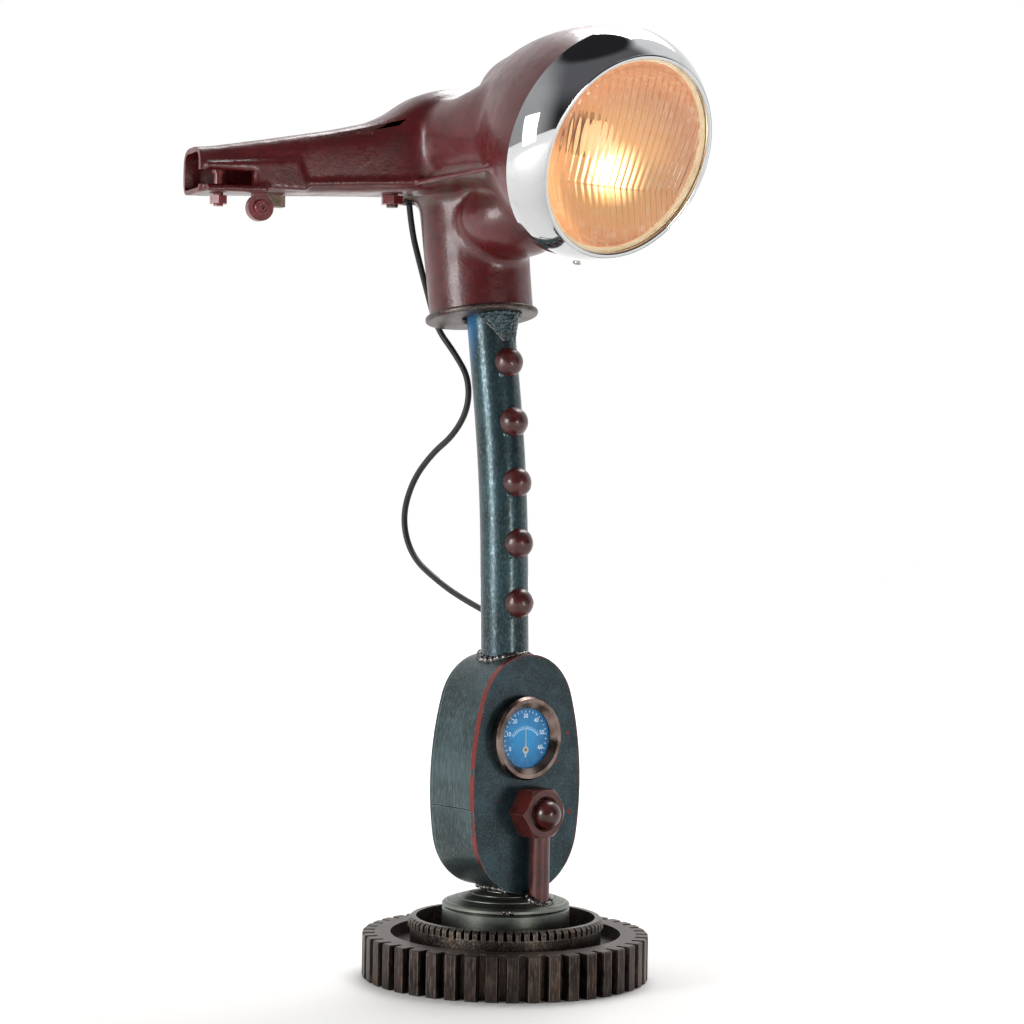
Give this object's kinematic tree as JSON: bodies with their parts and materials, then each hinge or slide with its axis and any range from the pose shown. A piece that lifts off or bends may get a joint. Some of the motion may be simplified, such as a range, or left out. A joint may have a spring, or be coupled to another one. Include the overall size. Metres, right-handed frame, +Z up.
{
  "type": "industrial pipe table lamp",
  "caption": "Table lamp welded from scrap: gear base, oval drum with gauge and push button, bent tube stem with domes, and a two-armed scooter headset casting with headlamp.",
  "frame": {"origin": "centre of the gear's underside, on the surface the lamp stands on", "axes": "+Z up, front (gauge and headlamp) towards -Y, the two arms along X"},
  "size_m": [0.4072, 0.2642, 0.6419],
  "materials": {
    "gear_iron": "rusted, worn bright on the edges",
    "plug_steel": "turned",
    "ring_steel": "worn",
    "collar_steel": "heat tinted",
    "cap_steel": "turned, brown tinted",
    "weld_steel": "as welded",
    "drum_plate": "lacquered patina",
    "drum_band": "lacquered patina",
    "drum_back": "lacquered patina",
    "zinc": "zinc plated",
    "black_plastic": "matt",
    "block_plastic": "matt",
    "can_steel": "plain",
    "bezel_black": "gloss black",
    "gauge_glass": "clear",
    "dial_blue": "printed blue",
    "needle_white": "white",
    "nut_red": "worn dark red",
    "switch_steel": "plain",
    "rod_red": "worn dark red",
    "stem_steel": "lacquered patina",
    "dome_red": "worn dark red",
    "disc_steel": "worn",
    "casting_maroon": "cast, painted, worn gloss maroon",
    "cover_maroon": "painted, worn gloss maroon",
    "rim_chrome": "polished",
    "lens_glass": "pressed flutes",
    "gasket_rubber": "matt",
    "reflector_mirror": "silvered",
    "brass": "plain",
    "bulb_glass": "lit, warm",
    "lead_rubber": "satin",
    "bolt_steel": "worn"
  },
  "bodies": {
    "base": {"gear_base": "gear_iron", "base_plug": "plug_steel", "dog_tooth_ring": "ring_steel", "base_collar": "collar_steel", "end_cap": "cap_steel", "cap_lip_welds": "weld_steel", "rod_foot_weld": "weld_steel", "drum_foot_welds": "weld_steel", "front_plate": "drum_plate", "drum_band_lower": "drum_band", "drum_band_upper": "drum_band", "back_plate": "drum_back", "cover_lugs": "bolt_steel", "cover_screws": "zinc", "mains_gland": "black_plastic", "terminal_block": "block_plastic", "gauge_can": "can_steel", "gauge_bezel": "bezel_black", "gauge_glass": "gauge_glass", "gauge_dial": "dial_blue", "gauge_movement": "brass", "gauge_clamp": "can_steel", "gauge_studs": "zinc", "gauge_nuts": "brass", "hex_nut": "nut_red", "button_spring": "switch_steel", "switch_body": "switch_steel", "stay_rod": "rod_red", "stem_tube": "stem_steel", "stem_gusset": "stem_steel", "stem_foot_weld": "weld_steel", "stem_top_weld": "weld_steel", "stem_domes": "dome_red", "dome_weld_dots": "weld_steel", "lead_grommet_stem": "black_plastic", "head_disc": "disc_steel", "head_spigot": "disc_steel", "head_lead": "lead_rubber"},
    "head": {"headset_casting": "casting_maroon", "pod_cover": "cover_maroon", "neck_set_screw": "bolt_steel", "arm_bolt": "bolt_steel", "arm_nut": "nut_red", "lead_grommet_head": "black_plastic", "headlamp_rim": "rim_chrome", "rim_screw": "zinc", "headlamp_glass": "lens_glass", "lens_gasket": "gasket_rubber", "reflector": "reflector_mirror", "bulb_holder": "brass", "bulb_base": "brass", "bulb_glass": "bulb_glass", "lever_pivot_bolts": "bolt_steel", "lever_pivot_nuts": "bolt_steel", "cable_lugs": "nut_red", "lug_screws": "zinc", "cable_stops": "bolt_steel"},
    "needle": {"gauge_needle": "needle_white"},
    "button": {"button_ball": "nut_red"}
  },
  "joints": [
    {"name": "head_swivel", "type": "hinge", "parent": "base", "child": "head", "pos_m": [0, 0.0365, 0.456], "axis": [0, 0.1547, 0.988], "range_deg": [-20, 20]},
    {"name": "needle_swing", "type": "hinge", "parent": "base", "child": "needle", "pos_m": [-0.0045, -0.0232, 0.1571], "axis": [0, 1, 0], "range_deg": [-45, 45], "stiffness_Nm_per_rad": 0.00005},
    {"name": "button_press", "type": "slide", "parent": "base", "child": "button", "axis": [0, 1, 0], "range_m": [0, 0.0025], "stiffness_N_per_m": 1200, "springref_m": -0.002}
  ]
}
